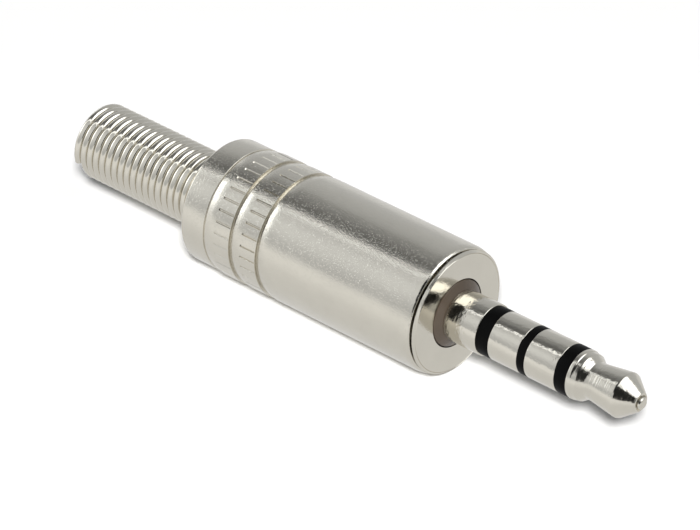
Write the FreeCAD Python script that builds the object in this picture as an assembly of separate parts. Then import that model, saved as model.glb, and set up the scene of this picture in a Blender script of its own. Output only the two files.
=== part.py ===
import FreeCAD, Part
import math
import os

# A four-pole 3.5 mm audio plug with a screwed metal shell and a spring cable guard, in millimetres.
# The plug lies along X with its tip towards +X. The origin is the middle of the front flange's face.

vector = FreeCAD.Vector
axis_start, axis_way = vector(0, 0, 0), vector(1, 0, 0)

# Gaps between pieces
fit_gap = 0.02          # between nested pieces that are pressed or moulded together
screw_gap = 0.05        # radial room between the threaded boss and the shell's bore
seat_gap = 0.02         # between the shell's front edge and the flange lip
guard_gap = 0.10        # radial room round the spring where it leaves the shell
loose_gap = 0.15        # radial room round the insulating tube
end_gap = 0.05          # axial room in front of a wall
cut_over = 0.20         # how far a cutting shape stands out past what it cuts

# Pin, measured forward from the flange face
pin_dia = 3.5
sleeve_len = 3.05
sleeve_band_len = 0.99
ring2_len = 2.47
ring2_band_len = 0.62
ring1_len = 2.54
ring1_band_len = 0.93

# Walls of the nested tubes behind the pin's rings. The rod in the middle fills what they leave.
sleeve_wall = 0.22
sleeve_root_step = 0.17  # the sleeve is this much thinner inside the bushing
insulator_wall = 0.18
contact_wall = 0.20

# Tip, measured forward from the front black ring
collar_full_len = 0.22
collar_drop = 0.07
collar_taper = 0.04
collar_len = 0.86
neck_drop = 0.45
neck_slope_len = 0.45
neck_len = 0.20
head_drop = 0.14
head_at = 3.70
head_round = 0.35
nose_len = 1.25
nose_dia = 1.24
rivet_dia = 1.10
rivet_edge_len = 0.08
rivet_crown = 0.16

# Flange and threaded boss
lip_step = 0.15          # the lip is this much smaller than the shell, in radius
lip_len = 0.30
lip_bevel = 0.17
body_len = 5.2
boss_wall = 1.38
boss_bevel = 0.30

# Moulded shoulder round the pin's root
bushing_wall = 0.65
bushing_nose_len = 0.30
bushing_nose_step = 0.08
bushing_flange_step = 0.5
bushing_flange_len = 0.6

# Solder lugs, their washers and the peened rims behind them
sheet = 0.25
rim_len = 0.15
rim_step = 0.27
washer_len = 0.85
sleeve_washer_ring = 0.50
ring2_washer_ring = 0.74
ring1_washer_ring = 0.96
ring2_lug_ring = 0.74
ring1_lug_ring = 0.96
tip_lug_ring = 0.88
lug_bend_out = 0.85
tip_lug_bend_out = 0.15
ring2_lug_len = 5.9
ring1_lug_len = 4.2
tip_lug_len = 2.5
lug_width = 1.5
tip_lug_width = 1.1
lug_end_flat = 0.3
solder_hole_dia = 0.7
solder_hole_edge = 0.75
bend_round = 0.2

# Cable clamp, one folded sheet
clamp_sheet = 0.30
clamp_strip_width = 2.4
clamp_step_len = 1.1
clamp_neck_len = 0.9
clamp_wing_len = 3.4
clamp_tail_room = 2.42  # from the wings back to the shell's end wall, with the spring's wide turn
cable_dia = 4.1
clamp_wrap_deg = 250.0

# Shell
shell_len = 20.7
shell_wall = 0.75
shell_front_bevel = 0.25
shell_tail_step = 0.08  # the tail is this much smaller than the front, in radius
shell_tail_bevel = 0.15
shell_end_wall = 1.2
groove_from_rear = 2.11
groove_spacing = 2.42
groove_count = 3
groove_width = 0.28
groove_depth = 0.12
shell_seam_deg = 2.65   # half a facet, so that the faceted shell lies on a flat and not on a corner

# Insulating tube over the lugs
tube_wall = 0.25
tube_front_room = 0.35
tube_tail_room = 1.62

# Spring of round wire, wound close. Its many turns have a four-sided wire in short straight spans.
wire_dia = 0.58
spring_dia = 5.5
spring_pitch = 0.61
spring_out_len = 11.7
spring_wide_dia = 6.5
spring_ramp_turns = 0.75
spring_wide_turns = 1.0
spring_start_deg = 130.0  # where the wire's outer end lies, from straight up towards +Y
spans_per_turn = 14

# Radii and stations that follow from the sizes above
pin_r = pin_dia / 2
sleeve_root_r = pin_r - sleeve_root_step
sleeve_r = sleeve_root_r - sleeve_wall
sleeve_insulator_r = sleeve_r - fit_gap - insulator_wall
ring2_r = sleeve_insulator_r - fit_gap - contact_wall
ring2_insulator_r = ring2_r - fit_gap - insulator_wall
ring1_r = ring2_insulator_r - fit_gap - contact_wall
ring1_insulator_r = ring1_r - fit_gap - insulator_wall
rod_r = ring1_insulator_r - fit_gap

pin_start = bushing_nose_len + fit_gap
sleeve_end = sleeve_len
ring2_start = sleeve_end + sleeve_band_len
ring2_end = ring2_start + ring2_len
ring1_start = ring2_end + ring2_band_len
ring1_end = ring1_start + ring1_len
tip_start = ring1_end + ring1_band_len
nose_end = tip_start + head_at + nose_len

body_rear = -body_len
clamp_front = body_rear - bushing_flange_len
clamp_rear = clamp_front - clamp_sheet
sleeve_rear = clamp_rear - rim_len
ring2_lug_front = clamp_rear - washer_len
ring2_rear = ring2_lug_front - sheet - rim_len
ring1_lug_front = ring2_lug_front - sheet - washer_len
ring1_rear = ring1_lug_front - sheet - rim_len
tip_lug_front = ring1_lug_front - sheet - washer_len
rod_rear = tip_lug_front - sheet - rim_len

bushing_r = pin_r + bushing_wall
bushing_flange_r = bushing_r + bushing_flange_step
boss_bore_r = bushing_r + fit_gap
boss_r = boss_bore_r + boss_wall
shell_bore_r = boss_r + screw_gap
shell_r = shell_bore_r + shell_wall
shell_front = -lip_len - seat_gap
shell_rear = shell_front - shell_len
shell_inside_end = shell_rear + shell_end_wall


def turned(*outline):
    """A solid of revolution about X. A point is (x, radius), and an arc is (its middle, its end)."""
    edges, first, here = [], None, None
    for step in outline:
        is_arc = isinstance(step[0], tuple)
        end = vector(step[1][0], 0, step[1][1]) if is_arc else vector(step[0], 0, step[1])
        if here is None:
            first = end
        elif is_arc:
            middle = vector(step[0][0], 0, step[0][1])
            edges.append(Part.Arc(here, middle, end).toShape())
        else:
            edges.append(Part.LineSegment(here, end).toShape())
        here = end
    edges.append(Part.LineSegment(here, first).toShape())
    return Part.Face(Part.Wire(edges)).revolve(axis_start, axis_way, 360)


def disc(x_low, x_high, radius):
    return Part.makeCylinder(radius, x_high - x_low, vector(x_low, 0, 0), axis_way)


def tube(x_low, x_high, radius, bore):
    return turned((x_low, bore), (x_low, radius), (x_high, radius), (x_high, bore))


def box(low, high):
    size = [b - a for a, b in zip(low, high)]
    return Part.makeBox(size[0], size[1], size[2], vector(*low))


def shell():
    """Turned shell: plain front, ring grooves near the back, flat tail with the spring's hole."""
    tail_r = shell_r - shell_tail_step
    hole_r = spring_dia / 2 + guard_gap
    outline = [
        (shell_front, shell_bore_r),
        (shell_front, shell_r - shell_front_bevel),
        (shell_front - shell_front_bevel, shell_r),
    ]
    for number in range(groove_count):
        groove_x = shell_rear + groove_from_rear + (groove_count - 1 - number) * groove_spacing
        behind_r = tail_r if number == groove_count - 1 else shell_r
        outline.append((groove_x + groove_width / 2, shell_r))
        outline.append((groove_x, shell_r - groove_depth))
        outline.append((groove_x - groove_width / 2, behind_r))
    outline += [(shell_rear + shell_tail_bevel, tail_r), (shell_rear, tail_r - shell_tail_bevel)]
    outline += [(shell_rear, hole_r), (shell_inside_end, hole_r), (shell_inside_end, shell_bore_r)]
    shape = turned(*outline)
    shape.rotate(axis_start, axis_way, shell_seam_deg)
    return shape


def plug_body():
    """Flange lip and threaded boss in one turned piece with a through bore, at the thread's crest."""
    lip_r = shell_r - lip_step
    return turned(
        (0, boss_bore_r),
        (0, lip_r - lip_bevel),
        (-lip_bevel, lip_r),
        (-lip_len, lip_r),
        (-lip_len, boss_r),
        (body_rear + boss_bevel, boss_r),
        (body_rear, boss_r - boss_bevel),
        (body_rear, boss_bore_r),
    )


def shoulder_bushing():
    """Moulded bushing in the body's bore: its cone shows round the pin, its flange seats behind."""
    bore_r = sleeve_root_r + fit_gap
    return turned(
        (clamp_front, bore_r),
        (clamp_front, bushing_flange_r),
        (body_rear, bushing_flange_r),
        (body_rear, bushing_r),
        (0, bushing_r),
        (bushing_nose_len, pin_r + bushing_nose_step),
        (bushing_nose_len, bore_r),
    )


def sleeve_contact():
    """Ground sleeve: full pin diameter in front of the bushing, thinner behind, with a peened rim."""
    rim_r = sleeve_root_r + rim_step
    return turned(
        (sleeve_rear, sleeve_r),
        (sleeve_rear, rim_r),
        (clamp_rear, rim_r),
        (clamp_rear, sleeve_root_r),
        (pin_start, sleeve_root_r),
        (pin_start, pin_r),
        (sleeve_end, pin_r),
        (sleeve_end, sleeve_r),
    )


def ring_contact(bore, rear, head_start, head_end):
    """Ring contact: a head of the pin's diameter on a thin tube that ends in a peened rim."""
    tube_r = bore + contact_wall
    rim_front = rear + rim_len
    return turned(
        (rear, bore),
        (rear, tube_r + rim_step),
        (rim_front, tube_r + rim_step),
        (rim_front, tube_r),
        (head_start, tube_r),
        (head_start, pin_r),
        (head_end, pin_r),
        (head_end, bore),
    )


def insulator(bore, rear, band_start, band_end):
    """Moulded insulator: a thin tube with the black ring of the pin at its front."""
    return turned(
        (rear, bore),
        (rear, bore + insulator_wall),
        (band_start, bore + insulator_wall),
        (band_start, pin_r),
        (band_end, pin_r),
        (band_end, bore),
    )


def tip_contact():
    """Turned tip: collar, neck that the jack's spring catches, flared head and blunt cone."""
    collar_r = pin_r - collar_drop
    neck_r, head_r, nose_r = pin_r - neck_drop, pin_r - head_drop, nose_dia / 2
    neck_start = tip_start + collar_len + neck_slope_len
    head_x = tip_start + head_at
    cone = math.atan2(head_r - nose_r, nose_len)
    flare = math.atan2(head_r - neck_r, head_x - neck_start - neck_len)
    reach = head_round * math.tan((cone + flare) / 2)
    return turned(
        (tip_start, rod_r + fit_gap),
        (tip_start, pin_r),
        (tip_start + collar_full_len, pin_r),
        (tip_start + collar_full_len + collar_drop, collar_r),
        (tip_start + collar_len, collar_r - collar_taper),
        (neck_start, neck_r),
        (neck_start + neck_len, neck_r),
        (head_x - reach * math.cos(flare), head_r - reach * math.sin(flare)),
        (head_x + reach * math.cos(cone), head_r - reach * math.sin(cone)),
        (nose_end, nose_r),
        (nose_end, rod_r + fit_gap),
    )


def centre_rod():
    """Rod through the whole pin, riveted over at the tip and peened behind the tip lug."""
    rim_r = rod_r + rim_step
    head_r = rivet_dia / 2
    crown_x = nose_end + rivet_edge_len
    dome_r = (head_r ** 2 + rivet_crown ** 2) / (2 * rivet_crown)
    half_angle = math.asin(head_r / dome_r) / 2
    dome_x = crown_x + rivet_crown - dome_r
    dome_middle = (dome_x + dome_r * math.cos(half_angle), dome_r * math.sin(half_angle))
    return turned(
        (rod_rear, 0),
        (rod_rear, rim_r),
        (rod_rear + rim_len, rim_r),
        (rod_rear + rim_len, rod_r),
        (nose_end, rod_r),
        (nose_end, head_r),
        (crown_x, head_r),
        (dome_middle, (crown_x + rivet_crown, 0)),
    )


def washer(front, rear, outer_r, bore, recess_r):
    """Insulating washer with a recess in front for the peened rim that it covers."""
    recess_end = front - rim_len - fit_gap
    return turned(
        (rear, bore),
        (rear, outer_r),
        (front, outer_r),
        (front, recess_r),
        (recess_end, recess_r),
        (recess_end, bore),
    )


def lug(front, plate_r, bore, bend_out, length, width, turn_deg):
    """Stamped lug: a round plate on the contact's tube and a tab folded back with a solder hole."""
    rear = front - sheet
    tab_end = front - length
    reach = plate_r + bend_out
    inner = reach - sheet
    arm = box((rear, 0, -width / 2), (front, reach, width / 2))
    tab = box((tab_end, inner, -width / 2), (front, reach, width / 2))
    shape = disc(rear, front, plate_r).fuse(arm).fuse(tab).removeSplitter()
    outer_bend = [edge for edge in shape.Edges if on_line(edge, front, reach)]
    shape = shape.makeFillet(bend_round, outer_bend)
    end_corners = [edge for edge in shape.Edges if across_sheet(edge, tab_end)]
    shape = shape.makeFillet((width - lug_end_flat) / 2, end_corners)
    drill_start = vector(tab_end + solder_hole_edge, inner - cut_over, 0)
    drill = Part.makeCylinder(solder_hole_dia / 2, sheet + 2 * cut_over, drill_start, vector(0, 1, 0))
    shape = shape.cut(drill).cut(disc(rear - cut_over, front + cut_over, bore))
    shape.rotate(axis_start, axis_way, turn_deg)
    return shape


def on_line(edge, x, y):
    """True for a straight edge along Z that lies at x and y."""
    ends = [vertex.Point for vertex in edge.Vertexes]
    return len(ends) == 2 and all(abs(p.x - x) < 1e-6 and abs(p.y - y) < 1e-6 for p in ends)


def across_sheet(edge, x):
    """True for the short edges through the sheet's thickness at the end of a tab."""
    ends = [vertex.Point for vertex in edge.Vertexes]
    if len(ends) != 2 or any(abs(p.x - x) > 1e-6 for p in ends):
        return False
    return abs(ends[0].z - ends[1].z) < 1e-6 and abs(abs(ends[0].y - ends[1].y) - sheet) < 1e-6


def cable_clamp():
    """Ground plate behind the boss, a joggled strip and two open wings that close on the cable."""
    bore_r = sleeve_root_r + fit_gap
    cable_r = cable_dia / 2
    half = clamp_strip_width / 2
    low = -bushing_flange_r
    plate = disc(clamp_rear, clamp_front, bushing_flange_r)
    plate = plate.fuse(box((clamp_rear, -half, low), (clamp_front, half, 0)))

    wing_end = shell_inside_end + clamp_tail_room
    wing_start = wing_end + clamp_wing_len
    step_end = wing_start + clamp_neck_len
    step_start = step_end + clamp_step_len
    strip_end = wing_start - clamp_sheet
    top_line = [(clamp_front, low + clamp_sheet), (step_start, low + clamp_sheet)]
    top_line += [(step_end, -cable_r), (strip_end, -cable_r)]
    bottom_line = [(x, z - clamp_sheet) for x, z in reversed(top_line)]
    corners = [vector(x, -half, z) for x, z in top_line + bottom_line]
    strip = Part.Face(Part.makePolygon(corners + corners[:1])).extrude(vector(0, clamp_strip_width, 0))

    wings = tube(wing_end, wing_start, cable_r + clamp_sheet, cable_r)
    mouth = wedge(wing_end, wing_start, cable_r + clamp_sheet, 360 - clamp_wrap_deg)
    bore = disc(clamp_rear - cut_over, clamp_front + cut_over, bore_r)
    return plate.fuse(strip).cut(bore).fuse(wings.cut(mouth)).removeSplitter()


def wedge(x_low, x_high, radius, spread_deg):
    """A wedge about X that opens upwards and stands out past the given radius."""
    half = math.radians(spread_deg / 2)
    reach = (radius + cut_over) / math.cos(half / 2)
    corners = [vector(x_low, 0, 0)]
    for angle in (-half, 0, half):
        corners.append(vector(x_low, reach * math.sin(angle), reach * math.cos(angle)))
    return Part.Face(Part.makePolygon(corners + corners[:1])).extrude(vector(x_high - x_low, 0, 0))


def insulating_tube():
    outer_r = shell_bore_r - loose_gap
    front = sleeve_rear - tube_front_room
    return tube(shell_inside_end + tube_tail_room, front, outer_r, outer_r - tube_wall)


def strain_relief_spring():
    """Close-wound spring. Its last turn inside the shell is wider, so that it can't be pulled out."""
    wire_r = wire_dia / 2
    start_x = shell_rear - spring_out_len + wire_r
    ramp_x = shell_inside_end + wire_r + end_gap
    plain_turns = (ramp_x - start_x) / spring_pitch
    all_turns = plain_turns + spring_ramp_turns + spring_wide_turns
    coil_r, wide_r = (spring_dia - wire_dia) / 2, (spring_wide_dia - wire_dia) / 2
    span_count = math.ceil(all_turns * spans_per_turn)
    sections = []
    for number in range(span_count + 1):
        turn = all_turns * number / span_count
        share = min(1.0, max(0.0, (turn - plain_turns) / spring_ramp_turns))
        radius = coil_r + (wide_r - coil_r) * share
        angle = math.radians(spring_start_deg) + 2 * math.pi * turn
        out = vector(0, math.sin(angle), math.cos(angle))
        centre = out * radius + axis_way * (start_x + spring_pitch * turn)
        offsets = [out * wire_r, axis_way * wire_r, out * -wire_r, axis_way * -wire_r]
        sections.append([centre + offset for offset in offsets])
    return wound(sections)


def wound(sections):
    """A solid from four-cornered sections along a wire, with two flat triangles to each side."""
    faces = [flat_face(sections[0]), flat_face(sections[-1])]
    for here, ahead in zip(sections, sections[1:]):
        for side in range(4):
            after = (side + 1) % 4
            faces.append(flat_face([here[side], here[after], ahead[after]]))
            faces.append(flat_face([here[side], ahead[after], ahead[side]]))
    skin = Part.makeShell(faces)
    skin.sewShape()
    return Part.makeSolid(skin)


def flat_face(corners):
    return Part.Face(Part.makePolygon(corners + corners[:1]))


def all_pieces():
    ring2_tube_r = ring2_r + contact_wall
    ring1_tube_r = ring1_r + contact_wall
    on_ring2, on_ring1, on_rod = ring2_tube_r + fit_gap, ring1_tube_r + fit_gap, rod_r + fit_gap
    sleeve_recess_r = sleeve_root_r + rim_step + fit_gap
    ring2_recess_r, ring1_recess_r = on_ring2 + rim_step, on_ring1 + rim_step
    return {
        "shell": shell(),
        "strain_relief_spring": strain_relief_spring(),
        "insulating_tube": insulating_tube(),
        "plug_body": plug_body(),
        "shoulder_bushing": shoulder_bushing(),
        "sleeve_contact": sleeve_contact(),
        "sleeve_insulator": insulator(sleeve_insulator_r, sleeve_rear, sleeve_end, ring2_start),
        "ring2_contact": ring_contact(ring2_r, ring2_rear, ring2_start, ring2_end),
        "ring2_insulator": insulator(ring2_insulator_r, ring2_rear, ring2_end, ring1_start),
        "ring1_contact": ring_contact(ring1_r, ring1_rear, ring1_start, ring1_end),
        "ring1_insulator": insulator(ring1_insulator_r, ring1_rear, ring1_end, tip_start),
        "tip_contact": tip_contact(),
        "centre_rod": centre_rod(),
        "cable_clamp": cable_clamp(),
        "sleeve_washer": washer(
            clamp_rear, ring2_lug_front, sleeve_recess_r + sleeve_washer_ring, on_ring2, sleeve_recess_r
        ),
        "ring2_lug": lug(
            ring2_lug_front, on_ring2 + ring2_lug_ring, on_ring2, lug_bend_out, ring2_lug_len, lug_width, 0
        ),
        "ring2_washer": washer(
            ring2_lug_front - sheet,
            ring1_lug_front,
            ring2_recess_r + ring2_washer_ring,
            on_ring1,
            ring2_recess_r,
        ),
        "ring1_lug": lug(
            ring1_lug_front, on_ring1 + ring1_lug_ring, on_ring1, lug_bend_out, ring1_lug_len, lug_width, 180
        ),
        "ring1_washer": washer(
            ring1_lug_front - sheet, tip_lug_front, ring1_recess_r + ring1_washer_ring, on_rod, ring1_recess_r
        ),
        "tip_lug": lug(
            tip_lug_front, on_rod + tip_lug_ring, on_rod, tip_lug_bend_out, tip_lug_len, tip_lug_width, 90
        ),
    }


os.makedirs("parts", exist_ok=True)
for name, shape in all_pieces().items():
    solid = shape.Solids[0] if len(shape.Solids) == 1 else shape
    print(name, len(shape.Solids), "solid", "valid" if shape.isValid() else "INVALID", round(shape.Volume, 3))
    solid.exportStep("parts/" + name + ".step")
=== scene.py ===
import math
import bmesh
import bpy
from mathutils import Matrix, Vector


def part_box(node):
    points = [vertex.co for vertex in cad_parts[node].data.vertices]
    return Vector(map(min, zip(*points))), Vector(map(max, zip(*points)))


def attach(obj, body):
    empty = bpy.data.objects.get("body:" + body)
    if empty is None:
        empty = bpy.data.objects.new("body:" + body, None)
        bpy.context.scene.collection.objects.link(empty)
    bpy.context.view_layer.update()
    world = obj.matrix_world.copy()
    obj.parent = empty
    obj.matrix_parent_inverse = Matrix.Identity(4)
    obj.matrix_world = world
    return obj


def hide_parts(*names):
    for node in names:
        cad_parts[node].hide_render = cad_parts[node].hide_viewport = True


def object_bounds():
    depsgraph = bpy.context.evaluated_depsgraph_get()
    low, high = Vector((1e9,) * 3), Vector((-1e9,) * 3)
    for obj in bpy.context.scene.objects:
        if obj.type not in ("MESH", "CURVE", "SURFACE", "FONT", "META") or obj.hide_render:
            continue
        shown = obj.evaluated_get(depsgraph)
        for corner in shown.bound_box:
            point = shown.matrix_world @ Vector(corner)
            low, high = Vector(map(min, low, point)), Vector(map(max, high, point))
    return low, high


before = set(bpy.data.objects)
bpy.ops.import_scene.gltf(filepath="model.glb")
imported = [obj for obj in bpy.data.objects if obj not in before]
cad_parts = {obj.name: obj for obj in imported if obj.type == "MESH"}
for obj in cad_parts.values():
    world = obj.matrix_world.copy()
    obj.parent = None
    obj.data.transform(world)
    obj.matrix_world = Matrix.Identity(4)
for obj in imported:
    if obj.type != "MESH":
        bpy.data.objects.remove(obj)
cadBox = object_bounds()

mm = 0.001
alongPlug = Vector((1, 0, 0))

cameraSet = {
    "lens": 231.4,  # millimetres
    "sensor": 36,
    "sees": (0.01, 20),
    "place": (0.15952, -0.18938, 0.16622),
    "looks": (-0.5568, 0.6237, -0.5486),
}
studio = {
    "keyWay": (0.514, -0.576, 0.636),  # towards the lamp
    "keyFar": 1.40,
    "keySize": 0.21,
    "keyGlow": 213.0,  # radiance of the lamp's face
    "tint": (0.985, 1.005, 1.03, 1.0),
    # brightness of the room round the plug's axis: degrees from the rear horizon over the top
    "sky": ((0, 0.76), (3, 0.72), (8, 0.62), (22, 0.60), (50, 0.52), (60, 0.45), (63.5, 0.40), (64.5, 0.20),
            (66, 0.20), (67, 0.36), (78, 0.27), (89, 0.16), (94, 0.15), (99, 0.22), (104, 0.36), (106, 1.8),
            (109, 1.8), (111, 0.60), (116, 0.68), (126, 0.82), (139, 0.89), (150, 0.82), (162, 0.68), (173, 0.60),
            (177, 0.66), (180, 0.92)),
    # the same for the panels beyond the tail, and where they begin and are full along the plug
    "tailSky": ((0, 0.80), (4, 1.25), (36, 1.25), (55, 0.50), (74, 0.09), (94, 0.07), (98, 2.6), (142, 2.6),
                (158, 1.7), (172, 1.3), (180, 0.95)),
    "tailFrom": -0.785,
    "tailTo": -0.82,
    "panelWay": (0.60, 0.25, 0.76),  # a soft panel over the tip
    "panelEdges": (28.0, 22.0),
    "panelGlow": 2.6,
    "below": 0.95,  # the room under the floor's height
    "fill": 0.10,  # share of the room's light that falls on dull surfaces
    "floorColour": (0.96, 0.955, 0.945),
    # what metal and clear plastic see of the floor: a glow dimmed beside and behind the plug as painted shade, and
    # full far in front
    "mirrorPaintedShade": 0.79,
    "mirrorFar": 1.0,
    "mirrorFrom": -0.004,
    "mirrorTo": -0.024,
    "floorSize": 3.0,
    # dark round cards before the tip and over the pin's root, seen in the metal only:
    # place, what each faces, radius
    "flags": (((0.0385, -0.0275, 0.0185), (0.012, 0, 0), 0.022),
              ((0.0105, -0.0100, 0.0130), (0, 0, 0), 0.008)),
    "flagColour": (0.004, 0.004, 0.004),
    "flagRoughness": 0.9,
    "flagSides": 64,
}


def placeMesh(name, bm):
    mesh = bpy.data.meshes.new(name)
    bm.to_mesh(mesh)
    bm.free()
    piece = bpy.data.objects.new(name, mesh)
    bpy.context.scene.collection.objects.link(piece)
    return piece


def placeTurned(name, data, at, way):
    holder = bpy.data.objects.new(name, data)
    bpy.context.scene.collection.objects.link(holder)
    holder.location = at
    holder.rotation_mode = "QUATERNION"
    holder.rotation_quaternion = way.to_track_quat("-Z", "Y")
    return holder


def makeCamera():
    data = bpy.data.cameras.new("camera")
    data.lens = cameraSet["lens"]
    data.sensor_width = cameraSet["sensor"]
    data.clip_start, data.clip_end = cameraSet["sees"]
    bpy.context.scene.camera = placeTurned("camera", data, cameraSet["place"], Vector(cameraSet["looks"]))


def makeLamp():
    size = studio["keySize"]
    data = bpy.data.lights.new("keyLamp", "AREA")
    data.shape = "SQUARE"
    data.size = size
    data.energy = studio["keyGlow"] * math.pi * size * size
    way = Vector(studio["keyWay"]).normalized()
    lamp = placeTurned("keyLamp", data, way * studio["keyFar"], -way)
    lamp.visible_glossy = False  # metal shows the room's panels instead


def addNode(tree, kind, links=None, **settings):
    node = tree.nodes.new(kind)
    for key, value in settings.items():
        setattr(node, key, value)
    for key, value in (links or {}).items():
        if isinstance(value, bpy.types.NodeSocket):
            tree.links.new(value, node.inputs[key])
        else:
            node.inputs[key].default_value = value
    return node


def sums(tree, operation, *values):
    node = addNode(tree, "ShaderNodeMath", dict(enumerate(values)), operation=operation)
    return node.outputs[0]


def softStep(tree, value, start, end):
    return addNode(tree, "ShaderNodeMapRange", {
        "Value": value, "From Min": start, "From Max": end, "To Min": 0.0, "To Max": 1.0},
        interpolation_type="SMOOTHSTEP").outputs[0]


def blend(tree, share, first, second):
    return addNode(tree, "ShaderNodeMix", {0: share, 2: first, 3: second}).outputs[0]


def noise(tree, at, scale, detail, roughness):
    return addNode(tree, "ShaderNodeTexNoise", {
        "Vector": at, "Scale": scale, "Detail": detail, "Roughness": roughness}).outputs["Fac"]


def skyRamp(tree, share, stopList):
    ramp = addNode(tree, "ShaderNodeValToRGB", {"Fac": share})
    stops = ramp.color_ramp.elements
    while len(stops) > 1:
        stops.remove(stops[-1])
    for number, (degrees, light) in enumerate(stopList):
        stop = stops[0] if number == 0 else stops.new(degrees / 180)
        stop.position = degrees / 180
        stop.color = (light, light, light, 1)
    return ramp.outputs["Color"]


def makeWorld():
    world = bpy.data.worlds.new("room")
    bpy.context.scene.world = world
    world.use_nodes = True
    tree = world.node_tree
    tree.nodes.clear()
    way = addNode(tree, "ShaderNodeTexCoord").outputs["Generated"]
    parts = addNode(tree, "ShaderNodeSeparateXYZ", {0: way}).outputs
    share = sums(tree, "DIVIDE", sums(tree, "ARCTAN2", parts["Z"], parts["Y"]), math.pi)
    atTail = softStep(tree, parts["X"], studio["tailFrom"], studio["tailTo"])
    light = blend(tree, atTail, skyRamp(tree, share, studio["sky"]), skyRamp(tree, share, studio["tailSky"]))
    near = addNode(tree, "ShaderNodeVectorMath", {0: way, 1: Vector(studio["panelWay"]).normalized()},
                   operation="DOT_PRODUCT").outputs["Value"]
    outer, inner = [math.cos(math.radians(edge)) for edge in studio["panelEdges"]]
    light = blend(tree, softStep(tree, near, outer, inner), light, studio["panelGlow"])
    light = blend(tree, sums(tree, "LESS_THAN", parts["Z"], 0.0), light, studio["below"])
    dull = addNode(tree, "ShaderNodeLightPath").outputs["Is Diffuse Ray"]
    light = sums(tree, "MULTIPLY", light, blend(tree, dull, 1.0, studio["fill"]))
    back = addNode(tree, "ShaderNodeBackground", {"Color": studio["tint"], "Strength": light})
    out = addNode(tree, "ShaderNodeOutputWorld")
    tree.links.new(back.outputs[0], out.inputs["Surface"])


def paperMaterial():
    material = bpy.data.materials.new("paperFloor")
    material.use_nodes = True
    tree = material.node_tree
    tree.nodes.clear()
    path = addNode(tree, "ShaderNodeLightPath").outputs
    mirror = sums(tree, "MAXIMUM", path["Is Glossy Ray"], path["Is Transmission Ray"])
    place = addNode(tree, "ShaderNodeTexCoord").outputs["Object"]
    across = addNode(tree, "ShaderNodeSeparateXYZ", {0: place}).outputs["Y"]
    # painted shade: the floor's glow for metal is dimmed next to and behind the plug and reaches full brightness
    # far in front
    far = softStep(tree, across, studio["mirrorFrom"], studio["mirrorTo"])
    light = blend(tree, far, studio["mirrorPaintedShade"], studio["mirrorFar"])
    paper = addNode(tree, "ShaderNodeBsdfDiffuse", {"Color": (*studio["floorColour"], 1)})
    bright = addNode(tree, "ShaderNodeEmission", {"Strength": light})
    seen = addNode(tree, "ShaderNodeMixShader", {0: mirror, 1: paper.outputs[0], 2: bright.outputs[0]})
    clear = addNode(tree, "ShaderNodeBsdfTransparent")
    side = addNode(tree, "ShaderNodeNewGeometry").outputs["Backfacing"]
    mix = addNode(tree, "ShaderNodeMixShader", {0: side, 1: seen.outputs[0], 2: clear.outputs[0]})
    out = addNode(tree, "ShaderNodeOutputMaterial")
    tree.links.new(mix.outputs[0], out.inputs["Surface"])
    return material


def makeFloor(height):
    bm = bmesh.new()
    bmesh.ops.create_grid(bm, x_segments=1, y_segments=1, size=studio["floorSize"])
    bmesh.ops.translate(bm, verts=bm.verts, vec=(0, 0, height))
    floor = placeMesh("floor", bm)
    floor.data.materials.append(paperMaterial())


def makeFlags():
    material = bpy.data.materials.new("blackCard")
    material.use_nodes = True
    shader = material.node_tree.nodes["Principled BSDF"]
    shader.inputs["Base Color"].default_value = (*studio["flagColour"], 1)
    shader.inputs["Roughness"].default_value = studio["flagRoughness"]
    bm = bmesh.new()
    for at, target, radius in studio["flags"]:
        turned = (Vector(at) - Vector(target)).to_track_quat("Z", "Y").to_matrix().to_4x4()
        bmesh.ops.create_circle(bm, cap_ends=True, radius=radius, segments=studio["flagSides"],
                                matrix=Matrix.Translation(at) @ turned)
    flag = placeMesh("flag", bm)
    flag.visible_camera = flag.visible_diffuse = flag.visible_shadow = flag.visible_transmission = False
    flag.data.materials.append(material)


def groupSockets(tree, given, made):
    for name, value in given.items():
        socket = tree.interface.new_socket(name=name, in_out="INPUT", socket_type="NodeSocketFloat")
        socket.default_value = value
    for name in made:
        tree.interface.new_socket(name=name, in_out="OUTPUT", socket_type="NodeSocketFloat")
    return addNode(tree, "NodeGroupInput").outputs, addNode(tree, "NodeGroupOutput").inputs


def placeInMm(tree):
    place = addNode(tree, "ShaderNodeTexCoord").outputs["Object"]
    return addNode(tree, "ShaderNodeVectorMath", {0: place, "Scale": 1000.0}, operation="SCALE").outputs[0]


def stretched(tree, place, shares):
    scale = addNode(tree, "ShaderNodeCombineXYZ", dict(enumerate(shares))).outputs[0]
    return addNode(tree, "ShaderNodeVectorMath", {0: place, 1: scale}, operation="MULTIPLY").outputs[0]


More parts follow.
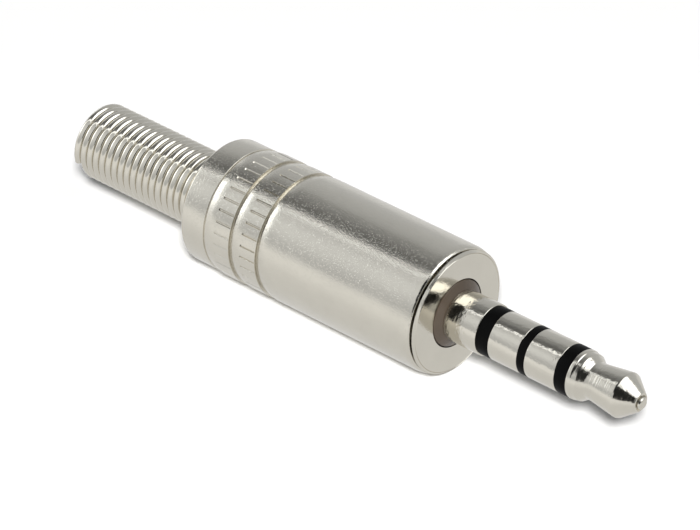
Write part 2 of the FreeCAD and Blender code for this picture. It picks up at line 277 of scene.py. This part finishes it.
def metalGroup():
    tree = bpy.data.node_groups.new("metalSurface", "ShaderNodeTree")
    given, made = groupSockets(tree, {
        "Grain": 6.0,  # lumps per millimetre
        "Stretch": 0.4,  # lower is longer along the plug
        "Rings": 8.0,  # turning rings per millimetre
        "Ring Share": 0.3,
        "Ring Break": 0.15,  # higher breaks the rings up round the plug
        "Specks": 0.0,  # share of the fine bright specks
        "Streak Share": 0.3,
        "Roughness": 0.12,
        "Uneven": 0.05,
    }, ("Height", "Roughness"))
    inMm = placeInMm(tree)
    grainAt = stretched(tree, inMm, (given["Stretch"], 1.0, 1.0))
    streakAt = stretched(tree, inMm, (0.03, 1.0, 1.0))  # long lines along the plug
    ringAt = stretched(tree, inMm, (given["Rings"], given["Ring Break"], given["Ring Break"]))
    height = noise(tree, grainAt, scale=given["Grain"], detail=2.0, roughness=0.55)
    streak = noise(tree, streakAt, scale=5.0, detail=3.0, roughness=0.6)
    ring = noise(tree, ringAt, scale=1.0, detail=2.0, roughness=0.6)
    speck = softStep(tree, noise(tree, inMm, scale=9.0, detail=1.0, roughness=0.5), start=0.58, end=0.70)
    for layer, share in ((ring, "Ring Share"), (streak, "Streak Share"), (speck, "Specks")):
        height = sums(tree, "ADD", height, sums(tree, "MULTIPLY", layer, given[share]))
    smudge = noise(tree, inMm, scale=0.35, detail=4.0, roughness=0.6)
    uneven = sums(tree, "ADD", sums(tree, "SUBTRACT", smudge, 0.5), sums(tree, "SUBTRACT", streak, 0.5))
    rough = sums(tree, "ADD", given["Roughness"], sums(tree, "MULTIPLY", uneven, given["Uneven"]))
    tree.links.new(height, made["Height"])
    tree.links.new(sums(tree, "MAXIMUM", rough, 0.03), made["Roughness"])
    return tree


def plasticGroup():
    tree = bpy.data.node_groups.new("mouldedSurface", "ShaderNodeTree")
    given, made = groupSockets(tree, {"Peel": 3.0, "Roughness": 0.3, "Uneven": 0.1}, ("Height", "Roughness"))
    inMm = placeInMm(tree)
    peel = noise(tree, inMm, scale=given["Peel"], detail=3.0, roughness=0.5)
    dull = noise(tree, inMm, scale=0.9, detail=4.0, roughness=0.65)
    rough = sums(tree, "MULTIPLY", sums(tree, "SUBTRACT", dull, 0.5), given["Uneven"])
    tree.links.new(peel, made["Height"])
    tree.links.new(sums(tree, "ADD", rough, given["Roughness"]), made["Roughness"])
    return tree


nickel = (0.665, 0.635, 0.560)
metals = {
    # the shell
    "satinNickel": {"colour": nickel, "bump": 0.010, "Grain": 11.0, "Stretch": 0.9, "Rings": 9.0, "Ring Share": 0.1,
                    "Streak Share": 0.15, "Specks": 0.6, "Roughness": 0.16, "Uneven": 0.08},
    # the spring
    "brightWire": {"colour": nickel, "bump": 0.004, "Grain": 4.0, "Stretch": 1.0, "Rings": 2.0, "Ring Share": 0.1,
                   "Streak Share": 0.1, "Roughness": 0.07, "Uneven": 0.04},
    # the flange and its boss
    "polishedNickel": {"colour": nickel, "bump": 0.008, "Grain": 7.0, "Stretch": 1.0, "Rings": 10.0,
                       "Ring Share": 0.2, "Streak Share": 0.1, "Roughness": 0.10, "Uneven": 0.05},
    # the pin's rings
    "turnedNickel": {"colour": nickel, "bump": 0.015, "Grain": 5.0, "Stretch": 1.0, "Rings": 6.0, "Ring Share": 0.8,
                     "Ring Break": 1.2, "Streak Share": 0.2, "Roughness": 0.09, "Uneven": 0.06},
    # the tip and its rivet
    "machinedNickel": {"colour": nickel, "bump": 0.014, "Grain": 4.0, "Stretch": 1.0, "Rings": 8.0,
                       "Ring Share": 1.5, "Streak Share": 0.2, "Roughness": 0.17, "Uneven": 0.08},
    # clamp and lugs
    "tinnedSheet": {"colour": (0.72, 0.71, 0.68), "bump": 0.010, "Grain": 3.0, "Stretch": 0.5, "Rings": 3.0,
                    "Ring Share": 0.1, "Streak Share": 0.3, "Roughness": 0.25, "Uneven": 0.10},
}
plastics = {
    "blackMoulding": {"colour": (0.002, 0.002, 0.002), "bump": 0.006, "Peel": 4.0, "Roughness": 0.42, "Uneven": 0.2,
                      "specular": 0.04},
    "darkMoulding": {"colour": (0.062, 0.047, 0.034), "bump": 0.004, "Peel": 3.0, "Roughness": 0.12, "Uneven": 0.1,
                     "specular": 0.35},
    "paleWasher": {"colour": (0.78, 0.75, 0.66), "bump": 0.004, "Peel": 5.0, "Roughness": 0.55, "Uneven": 0.1},
    "clearSleeving": {"colour": (0.72, 0.74, 0.74), "bump": 0.004, "Peel": 2.0, "Roughness": 0.35, "Uneven": 0.1},
}
# spread is how far the colour varies, patches how finely
metalTone = {"metallic": 1.0, "spread": 0.06, "patches": 420.0}
plasticTone = {"metallic": 0.0, "spread": 0.15, "patches": 700.0}


def makeMaterial(name, group, finish, tone):
    material = bpy.data.materials.new(name)
    material.use_nodes = True
    tree = material.node_tree
    shader = tree.nodes["Principled BSDF"]
    colour = finish["colour"]
    shader.inputs["Base Color"].default_value = (*colour, 1)
    shader.inputs["Metallic"].default_value = tone["metallic"]
    if "specular" in finish:
        shader.inputs["Specular IOR Level"].default_value = finish["specular"]
    surface = addNode(tree, "ShaderNodeGroup")
    surface.node_tree = group
    for key, value in finish.items():
        if key in surface.inputs:
            surface.inputs[key].default_value = value
    relief = addNode(tree, "ShaderNodeBump", {
        "Height": surface.outputs["Height"], "Distance": finish["bump"] * mm, "Strength": 1.0})
    tree.links.new(relief.outputs[0], shader.inputs["Normal"])
    tree.links.new(surface.outputs["Roughness"], shader.inputs["Roughness"])
    place = addNode(tree, "ShaderNodeTexCoord").outputs["Object"]
    patch = noise(tree, place, scale=tone["patches"], detail=4.0, roughness=0.6)
    tones = addNode(tree, "ShaderNodeMix", {}, data_type="RGBA")
    for socket, share in ((6, 1 - tone["spread"]), (7, 1 + tone["spread"])):
        tones.inputs[socket].default_value = (*[min(1.0, part * share) for part in colour], 1)
    tree.links.new(patch, tones.inputs[0])
    tree.links.new(tones.outputs[2], shader.inputs["Base Color"])
    return material


def finishPiece(name, bm, material, body, nodes, sharp=40):
    bmesh.ops.recalc_face_normals(bm, faces=bm.faces)
    for face in bm.faces:
        face.smooth = True
    piece = placeMesh(name, bm)
    piece.data.set_sharp_from_angle(angle=math.radians(sharp))
    piece.data.materials.append(material)
    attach(piece, body)
    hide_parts(*nodes)


partsPerMm = 12  # of a large rounding
axisWithin, weldWithin = 1e-9, 1e-6


def lathe(outline, steps, segments=4):
    # outline: (x, radius, rounding) of each corner in millimetres, round a closed section
    bm = bmesh.new()
    corners = [bm.verts.new((x * mm, 0, max(r, 0) * mm)) for x, r, rounding in outline]
    bm.faces.new(corners)
    for corner, (x, r, rounding) in zip(corners, outline):
        if rounding:
            bmesh.ops.bevel(bm, geom=[corner], offset=rounding * mm, offset_type="OFFSET", affect="VERTICES",
                            segments=max(segments, round(rounding * partsPerMm)), profile=0.5, material=-1)
    bmesh.ops.delete(bm, geom=bm.faces[:], context="FACES_ONLY")
    onAxis = [edge for edge in bm.edges if all(vert.co.z < axisWithin for vert in edge.verts)]
    bmesh.ops.delete(bm, geom=onAxis, context="EDGES")
    bmesh.ops.spin(bm, geom=bm.verts[:] + bm.edges[:], cent=(0, 0, 0), axis=alongPlug, dvec=(0, 0, 0),
                   angle=2 * math.pi, steps=steps, use_merge=True, use_duplicate=False)
    bmesh.ops.remove_doubles(bm, verts=bm.verts[:], dist=weldWithin)
    return bm


def extrudeLoop(bm, loop):
    made = bmesh.ops.extrude_edge_only(bm, edges=loop)["geom"]
    fresh = [item for item in made if isinstance(item, bmesh.types.BMVert)]
    edges = [item for item in made if isinstance(item, bmesh.types.BMEdge)
             and item.verts[0] in fresh and item.verts[1] in fresh]
    return fresh, edges


def sizes(node):
    low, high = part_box(node)
    return low.x / mm, high.x / mm, high.z / mm


shellCut = {
    "bore": 3.85, "hole": 2.85, "endWall": 1.2,
    # the front edge: how far back, how much smaller in radius, rounding
    "frontCorners": ((0.06, 0.20, 0.01), (0.08, 0.15, 0.03), (0.20, 0.05, 0.07), (0.48, 0, 0.12)),
    "mouthLong": 0.46, "mouthRound": 0.05,
    "tailRound": 0.14, "tailStep": 0.08, "holeRound": 0.12, "wallRound": 0.05, "cornerRound": 0.25,
    "grooves": (-14.07, -16.49, -18.91),
    "grooveHalf": 0.05, "grooveFlat": 0.4, "grooveDepth": 0.17, "grooveRound": 0.02,
    "shoulder": 0.66, "shoulderDrop": 0.13, "shoulderRound": 0.25,
    "dashes": 34, "columns": 5, "dashColumn": 2, "dashLong": 1.38, "dashGap": 0.02,
    "dashDepths": (0.10, 0.07), "dashSlope": 0.06, "dashSkin": 0.05,
    "threadFrom": 0.5, "threadPitch": 0.5, "threadTurns": 9, "threadDepth": 0.2,
    "roundParts": 5,
}


def engraveDashes(bm, low, high, depth, radius):
    cut = shellCut
    step = 2 * math.pi / (cut["dashes"] * cut["columns"])
    pits = []
    for face in bm.faces:
        middle = face.calc_center_median()
        reach = math.hypot(middle.y, middle.z)
        if low * mm < middle.x < high * mm and reach > (radius - cut["dashSkin"]) * mm:
            turn = (math.atan2(middle.z, middle.y) - math.pi / 2) % (2 * math.pi)
            if int(turn / step) % cut["columns"] == cut["dashColumn"]:
                pits.append(face)
    bmesh.ops.recalc_face_normals(bm, faces=bm.faces)
    bmesh.ops.inset_individual(bm, faces=pits, thickness=cut["dashSlope"] * mm, depth=-depth * mm,
                               use_even_offset=True)


def makeShell(material):
    rear, front, radius = sizes("shell")
    cut = shellCut
    tail = radius - cut["tailStep"]
    inside = rear + cut["endWall"]
    outline = [(front - cut["mouthLong"], cut["bore"], cut["mouthRound"])]
    outline += [(front - back, radius - drop, rounding) for back, drop, rounding in cut["frontCorners"]]
    bands = []
    half, bottom = cut["grooveHalf"], radius - cut["grooveDepth"]
    for number, at in enumerate(cut["grooves"]):
        isLast = number == len(cut["grooves"]) - 1
        outline += [
            (at + half + cut["shoulder"], radius, cut["shoulderRound"]),
            (at + half, radius - cut["shoulderDrop"], cut["grooveRound"]),
            (at + half * cut["grooveFlat"], bottom, 0),
            (at - half * cut["grooveFlat"], bottom, 0),
            (at - half, tail if isLast else radius, cut["grooveRound"]),
        ]
        if not isLast:
            start = at - half - cut["dashGap"]
            outline += [(start, radius, 0), (start - cut["dashLong"], radius, 0)]
            bands.append((start - cut["dashLong"], start, cut["dashDepths"][number]))
    outline += [
        (rear, tail, cut["tailRound"]), (rear, cut["hole"], cut["holeRound"]),
        (inside, cut["hole"], cut["wallRound"]), (inside, cut["bore"], cut["cornerRound"]),
    ]
    quarter = cut["threadPitch"] / 4
    for number in reversed(range(cut["threadTurns"])):
        at = front - cut["threadFrom"] - number * cut["threadPitch"]
        outline += [(at - quarter, cut["bore"], 0), (at, cut["bore"] + cut["threadDepth"], 0),
                    (at + quarter, cut["bore"], 0)]
    bm = lathe(outline, cut["dashes"] * cut["columns"], cut["roundParts"])
    for low, high, depth in bands:
        engraveDashes(bm, low, high, depth, radius)
    finishPiece("turnedShell", bm, material, "shell", ["shell"], sharp=32)


springWire = {
    "wire": 0.58, "outside": 5.5, "pitch": 0.598,
    "rampTurns": 0.75, "wideTurns": 1.0, "wideOutside": 6.5,  # the last turn, which the shell holds
    "ways": 14, "steps": 44, "endRoom": 0.05,
    "startTurn": 255.0,  # where the wire's outer end lies, from straight up towards the rear
    "startOut": 0.42,
}


def makeSpring(material):
    wire = springWire
    low = sizes("strain_relief_spring")[0]
    shellRear = sizes("shell")[0]
    half = wire["wire"] / 2
    start = low + half - wire["startOut"]
    plainTurns = (shellRear + shellCut["endWall"] + half + wire["endRoom"] - start) / wire["pitch"]
    allTurns = plainTurns + wire["rampTurns"] + wire["wideTurns"]
    coil, wide = (wire["outside"] - wire["wire"]) / 2, (wire["wideOutside"] - wire["wire"]) / 2
    stepCount = math.ceil(allTurns * wire["steps"])
    bm = bmesh.new()
    bmesh.ops.create_circle(bm, cap_ends=True, cap_tris=False, radius=half * mm, segments=wire["ways"])
    # the wire's end stands across the wire: its plane holds the plug's axis and the way out
    bmesh.ops.rotate(bm, verts=bm.verts, cent=(0, 0, 0), matrix=Matrix.Rotation(math.radians(90), 3, "X"))
    bmesh.ops.translate(bm, verts=bm.verts, vec=(start * mm, 0, coil * mm))
    first = math.radians(-wire["startTurn"])
    bmesh.ops.rotate(bm, verts=bm.verts, cent=(0, 0, 0), matrix=Matrix.Rotation(first, 3, "X"))
    loop = bm.edges[:]
    turn = allTurns / stepCount
    spun = Matrix.Rotation(-2 * math.pi * turn, 3, "X")
    for number in range(stepCount):
        ring, loop = extrudeLoop(bm, loop)
        bmesh.ops.rotate(bm, verts=ring, cent=(0, 0, 0), matrix=spun)
        done = (number + 1) * turn
        before, after = [min(1.0, max(0.0, (at - plainTurns) / wire["rampTurns"])) for at in (done - turn, done)]
        angle = first - 2 * math.pi * done
        out = Vector((0, -math.sin(angle), math.cos(angle)))
        moved = alongPlug * wire["pitch"] * turn + out * (wide - coil) * (after - before)
        bmesh.ops.translate(bm, verts=ring, vec=moved * mm)
    bmesh.ops.contextual_create(bm, geom=loop)
    finishPiece("springCoil", bm, material, "cable_guard", ["strain_relief_spring"], sharp=50)


bodyCut = {
    "bore": 2.47, "boreRound": 0.04, "lipLong": 0.16, "lipBevel": 0.14, "lipFlat": 0.16, "lipRound": 0.02,
    "lineWide": 0.05, "lineDeep": 0.04, "lineRound": 0.01,  # the fine line turned in the face
    "core": 3.46, "coreRound": 0.04, "rearRound": 0.2, "rearBoreRound": 0.06, "steps": 160,
    "crest": 3.80, "pitch": 0.5, "threadFrom": 0.75, "threadTo": 4.75, "footHalf": 0.21, "crestHalf": 0.05,
    "footSunk": 0.05, "fadeShare": 3, "threadSteps": 60,  # steps in a turn
}


def windThread(bm, start, turns):
    # a ridge wound on the core, thin at both ends
    cut = bodyCut
    foot = cut["core"] - cut["footSunk"]
    section = [(-cut["footHalf"], foot), (-cut["crestHalf"], cut["crest"]),
               (cut["crestHalf"], cut["crest"]), (cut["footHalf"], foot)]
    fresh = [bm.verts.new(((start + x) * mm, 0, r * mm)) for x, r in section]
    loop = [bm.edges.new((fresh[number], fresh[(number + 1) % 4])) for number in range(4)]
    bm.faces.new(fresh)
    stepCount = round(turns * cut["threadSteps"])
    spun = Matrix.Rotation(2 * math.pi * turns / stepCount, 3, "X")
    runs = [fresh]
    for number in range(stepCount):
        fresh, loop = extrudeLoop(bm, loop)
        bmesh.ops.rotate(bm, verts=fresh, cent=(0, 0, 0), matrix=spun)
        bmesh.ops.translate(bm, verts=fresh, vec=alongPlug * cut["pitch"] * turns / stepCount * mm)
        runs.append(fresh)
    bmesh.ops.contextual_create(bm, geom=loop)
    fade = cut["threadSteps"] // cut["fadeShare"]
    for number, fresh in enumerate(runs):
        share = min(1.0, number / fade, (stepCount - number) / fade)
        for vert in fresh:
            reach = math.hypot(vert.co.y, vert.co.z)
            wanted = foot * mm + (reach - foot * mm) * share
            vert.co.y *= wanted / reach
            vert.co.z *= wanted / reach


def makeBody(material):
    cut = bodyCut
    rear, front, radius = sizes("plug_body")
    lip = front - cut["lipLong"]
    line = radius - cut["lipFlat"]
    outline = [
        (front, cut["bore"], cut["boreRound"]), (front, line - cut["lineWide"], cut["lineRound"]),
        (front - cut["lineDeep"], line - cut["lineWide"] / 2, 0), (front, line, cut["lineRound"]),
        (front - cut["lipBevel"], radius, cut["lipRound"]), (lip, radius, cut["lineRound"]),
        (lip, cut["core"], cut["coreRound"]), (rear, cut["core"], cut["rearRound"]),
        (rear, cut["bore"], cut["rearBoreRound"]),
    ]
    bm = lathe(outline, cut["steps"])
    windThread(bm, front - cut["threadTo"], (cut["threadTo"] - cut["threadFrom"]) / cut["pitch"])
    finishPiece("threadedBody", bm, material, "plug", ["plug_body"], sharp=32)


bushingCut = {
    "bore": 1.60, "wall": 2.40, "flangeLong": 0.6, "nose": 1.83, "noseLong": 0.30,
    "edge": 0.05, "rearEdge": 0.08, "wallEdge": 0.03, "boreEdge": 0.02, "steps": 120,
}


def makeBushing(material):
    cut = bushingCut
    rear, front, radius = sizes("shoulder_bushing")
    face = front - cut["noseLong"]
    flange = rear + cut["flangeLong"]
    outline = [
        (rear, cut["bore"], cut["edge"]), (rear, radius, cut["rearEdge"]), (flange, radius, cut["edge"]),
        (flange, cut["wall"], cut["wallEdge"]), (face, cut["wall"], cut["wallEdge"]),
        (front, cut["nose"], cut["wallEdge"]), (front, cut["bore"], cut["boreEdge"]),
    ]
    bm = lathe(outline, cut["steps"])
    finishPiece("rootBushing", bm, material, "plug", ["shoulder_bushing"])


pin = {
    "edge": 0.055, "fine": 0.02, "steps": 128,
    "rim": 0.15, "rimStep": 0.27, "rimRound": 0.05, "rimFoot": 0.03,  # the peened rim behind each lug
    "contactWall": 0.20, "insulatorWall": 0.18,
}
sleeveCut = {"bore": 1.36, "root": 1.58, "start": 0.32}
ringCuts = {
    "ring2_contact": {"piece": "ringMetal2", "bore": 0.94, "start": 4.04},
    "ring1_contact": {"piece": "ringMetal1", "bore": 0.52, "start": 7.13},
}
bandCuts = {
    "sleeve_insulator": {"piece": "blackBand3", "bore": 1.16, "long": 0.99},
    "ring2_insulator": {"piece": "blackBand2", "bore": 0.74, "long": 0.62},
    "ring1_insulator": {"piece": "blackBand1", "bore": 0.32, "long": 0.93},
}


def makeContact(node, name, bore, wall, start, material):
    rear, front, radius = sizes(node)
    rim, rimEnd = wall + pin["rimStep"], rear + pin["rim"]
    outline = [
        (rear, bore, pin["fine"]), (rear, rim, pin["rimRound"]), (rimEnd, rim, pin["rimFoot"]),
        (rimEnd, wall, 0), (start, wall, 0), (start, radius, pin["edge"]), (front, radius, pin["edge"]),
        (front, bore, 0),
    ]
    finishPiece(name, lathe(outline, pin["steps"]), material, "plug", [node])


def makeBand(node, name, bore, long, material):
    rear, front, radius = sizes(node)
    wall, face, fine = bore + pin["insulatorWall"], front - long, pin["fine"]
    outline = [
        (rear, bore, fine), (rear, wall, fine), (face, wall, 0), (face, radius, fine), (front, radius, fine),
        (front, bore, 0),
    ]
    finishPiece(name, lathe(outline, pin["steps"]), material, "plug", [node])


tipCut = {
    "bore": 0.32, "collarFull": 0.30, "collarStep": 0.07, "collarRadius": 1.69, "collarEnd": 11.30,
    "collarTaper": 0.03, "collarRound": 0.03, "stepRound": 0.04,
    "neckRadius": 1.30, "neckStart": 11.80, "neckEnd": 12.05, "neckRounds": (0.06, 0.1),
    "headAt": 14.30, "headRadius": 1.61, "headRound": 0.10,
    "noseRadius": 0.66, "noseEdge": 0.05, "cup": 0.54, "cupDepth": 0.14, "cupTaper": 0.05, "cupEdge": 0.02,
}


def makeTip(material):
    cut = tipCut
    rear, front, radius = sizes("tip_contact")
    full = rear + cut["collarFull"]
    collar, cup = cut["collarRadius"], front - cut["cupDepth"]
    outline = [
        (rear, cut["bore"], 0), (rear, radius, pin["edge"]), (full, radius, cut["stepRound"]),
        (full + cut["collarStep"], collar, cut["collarRound"]),
        (cut["collarEnd"], collar - cut["collarTaper"], cut["collarRound"]),
        (cut["neckStart"], cut["neckRadius"], cut["neckRounds"][0]),
        (cut["neckEnd"], cut["neckRadius"], cut["neckRounds"][1]),
        (cut["headAt"], cut["headRadius"], cut["headRound"]), (front, cut["noseRadius"], cut["noseEdge"]),
        (front, cut["cup"], cut["cupEdge"]), (cup, cut["cup"] - cut["cupTaper"], 0), (cup, cut["bore"], 0),
    ]
    bm = lathe(outline, pin["steps"])
    finishPiece("tipMetal", bm, material, "plug", ["tip_contact"], sharp=30)


rodCut = {
    "radius": 0.30, "rim": 0.57, "head": 0.44, "headEdge": 0.02, "seat": 15.49, "crown": 0.20,
    "steps": 96, "roundParts": 6,
}


def makeRod(material):
    cut = rodCut
    rear, front = sizes("centre_rod")[:2]
    rimEnd = rear + pin["rim"]
    outline = [
        (rear, 0, 0), (rear, cut["rim"], pin["rimRound"]), (rimEnd, cut["rim"], pin["rimFoot"]),
        (rimEnd, cut["radius"], 0), (cut["seat"], cut["radius"], 0),
        (cut["seat"], cut["head"], cut["headEdge"]), (front, cut["head"], cut["crown"]), (front, 0, 0),
    ]
    bm = lathe(outline, cut["steps"], cut["roundParts"])
    finishPiece("rivetedRod", bm, material, "plug", ["centre_rod"])


tubeCut = {"bore": 3.45, "edge": 0.08, "steps": 128}


def makeTube(material):
    rear, front, radius = sizes("insulating_tube")
    bore, edge = tubeCut["bore"], tubeCut["edge"]
    outline = [(rear, bore, edge), (rear, radius, edge), (front, radius, edge), (front, bore, edge)]
    bm = lathe(outline, tubeCut["steps"])
    finishPiece("sleevingTube", bm, material, "inner_sleeve", ["insulating_tube"])


bpy.context.scene.view_settings.view_transform = "Standard"
makeCamera()
makeWorld()
makeLamp()
makeFloor(cadBox[0].z)
makeFlags()
print("studio ready")

finishes = {}
for kinds, group, tone in ((metals, metalGroup(), metalTone), (plastics, plasticGroup(), plasticTone)):
    for name, finish in kinds.items():
        finishes[name] = makeMaterial(name, group, finish, tone)
print("materials ready")

makeShell(finishes["satinNickel"])
makeSpring(finishes["brightWire"])
makeBody(finishes["polishedNickel"])
makeBushing(finishes["darkMoulding"])
print("shell and body ready")

pinMetal = finishes["turnedNickel"]
makeContact("sleeve_contact", "sleeveMetal", sleeveCut["bore"], sleeveCut["root"], sleeveCut["start"], pinMetal)
for node, cut in ringCuts.items():
    makeContact(node, cut["piece"], cut["bore"], cut["bore"] + pin["contactWall"], cut["start"], pinMetal)
for node, cut in bandCuts.items():
    makeBand(node, cut["piece"], cut["bore"], cut["long"], finishes["blackMoulding"])
makeTip(finishes["machinedNickel"])
makeRod(finishes["machinedNickel"])
print("pin ready")

makeTube(finishes["clearSleeving"])
innerFinishes = {
    "tinnedSheet": ("cable_clamp", "ring2_lug", "ring1_lug", "tip_lug"),
    "paleWasher": ("sleeve_washer", "ring2_washer", "ring1_washer"),
}
for name, nodes in innerFinishes.items():
    for node in nodes:
        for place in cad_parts[node].material_slots:
            place.material = finishes[name]
print("inner pieces ready")
